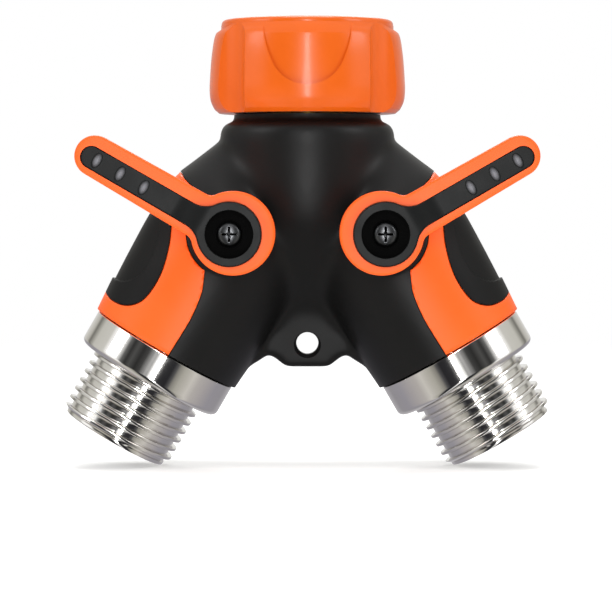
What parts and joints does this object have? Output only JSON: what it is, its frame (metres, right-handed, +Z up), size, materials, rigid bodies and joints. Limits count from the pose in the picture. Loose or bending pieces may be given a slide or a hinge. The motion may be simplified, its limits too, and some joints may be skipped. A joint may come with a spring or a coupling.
{
  "type": "hose splitter",
  "caption": "Y-shaped garden hose splitter: swivelling tap nut on top, a lever ball valve in each angled leg, male hose threads below and a hanging tab in the fork.",
  "frame": {"origin": "centre of the inlet washer's upper face, where the tap's spout presses", "axes": "+Z up along the inlet, out of the nut's mouth; +X towards the right leg; the levers are on the -Y side"},
  "size_m": [0.1094, 0.0503, 0.1003],
  "materials": {
    "soft_black": "soft moulded elastomer, satin",
    "orange_nut": "glossy moulded ABS",
    "orange_grip": "satin moulded ABS",
    "grey_inlay": "fine satin moulded plastic",
    "bright_plating": "polished nickel plating",
    "cast_metal": "machined die casting",
    "brass": "turned brass",
    "dark_steel": "black-zinc screw steel",
    "seat_plastic": "white PTFE",
    "rubber": "black moulded rubber"
  },
  "bodies": {
    "manifold": {"manifold_core": "cast_metal", "body_shell": "soft_black", "inlet_tailpiece": "brass", "tailpiece_o_ring": "rubber", "left_side_panel": "orange_grip", "left_thumb_pad": "soft_black", "left_outlet_fitting": "bright_plating", "left_fitting_o_ring": "rubber", "left_upper_ball_seat": "seat_plastic", "left_lower_ball_seat": "seat_plastic", "left_stem_bush": "brass", "right_side_panel": "orange_grip", "right_thumb_pad": "soft_black", "right_outlet_fitting": "bright_plating", "right_fitting_o_ring": "rubber", "right_upper_ball_seat": "seat_plastic", "right_lower_ball_seat": "seat_plastic", "right_stem_bush": "brass"},
    "swivel_nut": {"nut_threaded_insert": "cast_metal", "nut_grip": "orange_nut", "inlet_washer": "rubber"},
    "left_valve": {"left_valve_ball": "bright_plating", "left_valve_stem": "brass", "left_stem_o_ring_1": "rubber", "left_stem_o_ring_2": "rubber", "left_lever": "orange_grip", "left_lever_inlay": "grey_inlay", "left_lever_screw": "dark_steel"},
    "right_valve": {"right_valve_ball": "bright_plating", "right_valve_stem": "brass", "right_stem_o_ring_1": "rubber", "right_stem_o_ring_2": "rubber", "right_lever": "orange_grip", "right_lever_inlay": "grey_inlay", "right_lever_screw": "dark_steel"}
  },
  "joints": [
    {"name": "nut_swivel", "type": "hinge", "parent": "manifold", "child": "swivel_nut", "pos_m": [0, 0, 0], "axis": [0, 0, 1], "continuous": true},
    {"name": "left_lever_turn", "type": "hinge", "parent": "manifold", "child": "left_valve", "pos_m": [-0.017, 0, -0.0355], "axis": [0, -1, 0], "range_deg": [0, 90]},
    {"name": "right_lever_turn", "type": "hinge", "parent": "manifold", "child": "right_valve", "pos_m": [0.017, 0, -0.0355], "axis": [0, 1, 0], "range_deg": [0, 90]}
  ]
}
